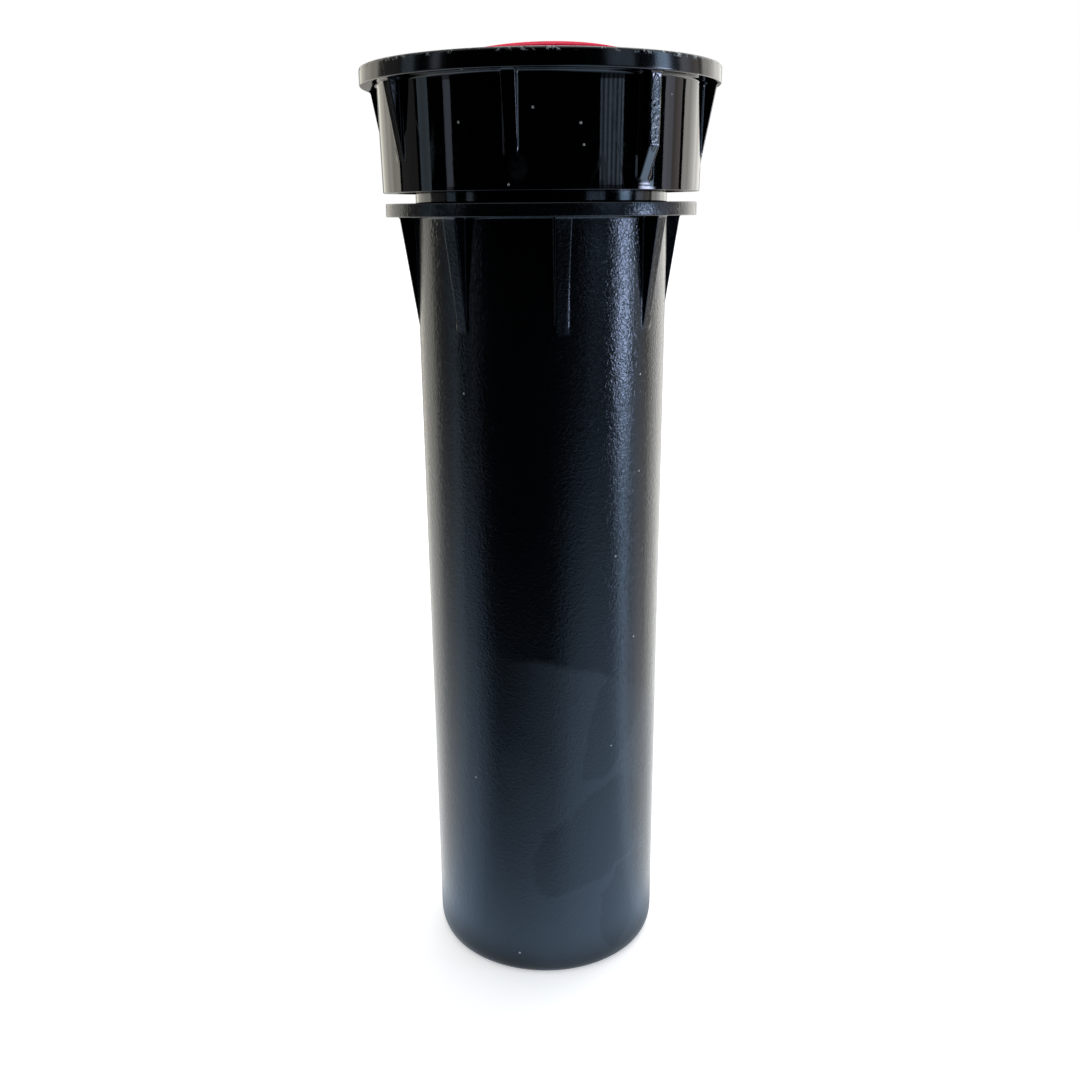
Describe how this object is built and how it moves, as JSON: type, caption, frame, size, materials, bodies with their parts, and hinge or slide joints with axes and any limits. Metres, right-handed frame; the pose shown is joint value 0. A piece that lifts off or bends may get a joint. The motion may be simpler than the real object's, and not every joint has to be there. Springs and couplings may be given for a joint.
{
  "type": "pop up sprinkler",
  "caption": "Pop-up sprinkler with a round case, ribbed screw cap and red rubber cover; a spring-returned riser carries a gear-driven turret with an adjustable nozzle.",
  "frame": {"origin": "centre of the case's bottom face, on the axis", "axes": "+Z along the riser's axis, towards the cap; -Y is the front, where the nozzle points at rest; +X to the right seen from the front"},
  "size_m": [0.056, 0.056, 0.1534],
  "materials": {
    "case_plastic": "satin black moulded plastic with a fine texture",
    "cap_plastic": "glossy black moulded plastic",
    "riser_plastic": "semi-gloss black moulded plastic",
    "acetal": "natural white acetal",
    "grey_plastic": "grey glass-filled plastic",
    "blue_plastic": "blue moulded plastic",
    "black_rubber": "soft black rubber",
    "red_rubber": "crimson moulded rubber",
    "spring_steel": "drawn stainless steel"
  },
  "bodies": {
    "case": {"case": "case_plastic", "cap": "cap_plastic", "cap_seal": "black_rubber", "wiper_seal": "black_rubber", "spring_seat": "acetal", "retract_spring": "spring_steel"},
    "riser": {"riser": "riser_plastic", "ratchet_ring": "grey_plastic", "check_seal": "black_rubber", "inlet_screen": "blue_plastic", "stator": "acetal", "gear_housing": "grey_plastic", "gear_plate": "grey_plastic", "gear_pin_b": "spring_steel", "riser_bearing": "acetal", "stem_oring": "black_rubber", "toggle_spring": "spring_steel"},
    "turbine": {"turbine": "acetal", "turbine_shaft": "spring_steel", "turbine_pinion": "acetal"},
    "gear_1": {"gear_1": "acetal"},
    "gear_2": {"gear_2": "acetal"},
    "gear_3": {"gear_3": "acetal"},
    "gear_4": {"gear_4": "acetal"},
    "gear_5": {"gear_5": "acetal"},
    "output": {"output_gear": "acetal", "gear_pin_a": "spring_steel", "output_shaft": "acetal", "clutch_washer": "blue_plastic"},
    "reverser": {"trip_ring": "acetal", "shift_rod": "spring_steel"},
    "turret": {"turret": "riser_plastic", "nozzle": "blue_plastic", "cover": "red_rubber"},
    "radius_screw": {"radius_screw": "spring_steel"},
    "arc_screw": {"arc_screw": "acetal"},
    "arc_ring": {"arc_ring": "grey_plastic"}
  },
  "joints": [
    {"name": "riser_slide", "type": "slide", "parent": "case", "child": "riser", "axis": [0, 0, 1], "range_m": [0, 0.1016], "stiffness_N_per_m": 300, "springref_m": -0.05, "deforming": ["retract_spring"]},
    {"name": "turbine_spin", "type": "hinge", "parent": "riser", "child": "turbine", "pos_m": [0, 0, 0.0558], "axis": [0, 0, 1], "continuous": true},
    {"name": "gear_1_spin", "type": "hinge", "parent": "riser", "child": "gear_1", "pos_m": [0.0054, 0, 0.0633], "axis": [0, 0, 1], "continuous": true},
    {"name": "gear_2_spin", "type": "hinge", "parent": "riser", "child": "gear_2", "pos_m": [0, 0, 0.0651], "axis": [0, 0, 1], "continuous": true},
    {"name": "gear_3_spin", "type": "hinge", "parent": "riser", "child": "gear_3", "pos_m": [0.0054, 0, 0.0669], "axis": [0, 0, 1], "continuous": true},
    {"name": "gear_4_spin", "type": "hinge", "parent": "riser", "child": "gear_4", "pos_m": [0, 0, 0.0687], "axis": [0, 0, 1], "continuous": true},
    {"name": "gear_5_spin", "type": "hinge", "parent": "riser", "child": "gear_5", "pos_m": [0.0054, 0, 0.0705], "axis": [0, 0, 1], "continuous": true},
    {"name": "output_turn", "type": "hinge", "parent": "riser", "child": "output", "pos_m": [0, 0, 0.0723], "axis": [0, 0, 1], "continuous": true},
    {"name": "turret_turn", "type": "hinge", "parent": "output", "child": "turret", "pos_m": [0, 0, 0.14], "axis": [0, 0, 1], "range_deg": [-90, 90]},
    {"name": "reverser_toggle", "type": "hinge", "parent": "riser", "child": "reverser", "pos_m": [0, 0, 0.1265], "axis": [0, 0, 1], "range_deg": [-10, 10]},
    {"name": "radius_screw_travel", "type": "slide", "parent": "turret", "child": "radius_screw", "axis": [0, 0, 1], "range_m": [-0.003, 0]},
    {"name": "arc_screw_turn", "type": "hinge", "parent": "turret", "child": "arc_screw", "pos_m": [0.009, 0, 0.14], "axis": [0, 0, 1], "range_deg": [-420, 245]},
    {"name": "arc_ring_turn", "type": "hinge", "parent": "turret", "child": "arc_ring", "pos_m": [0, 0, 0.132], "axis": [0, 0, 1], "range_deg": [-70.1, 120.1]}
  ],
  "couplings": [
    {"joint": "gear_1_spin", "follows": "turbine_spin", "ratio": -0.28571},
    {"joint": "gear_2_spin", "follows": "turbine_spin", "ratio": 0.081633},
    {"joint": "gear_3_spin", "follows": "turbine_spin", "ratio": -0.023324},
    {"joint": "gear_4_spin", "follows": "turbine_spin", "ratio": 0.0066639},
    {"joint": "gear_5_spin", "follows": "turbine_spin", "ratio": -0.001904},
    {"joint": "output_turn", "follows": "turbine_spin", "ratio": 0.00054399},
    {"joint": "arc_ring_turn", "follows": "arc_screw_turn", "ratio": -0.28571}
  ]
}
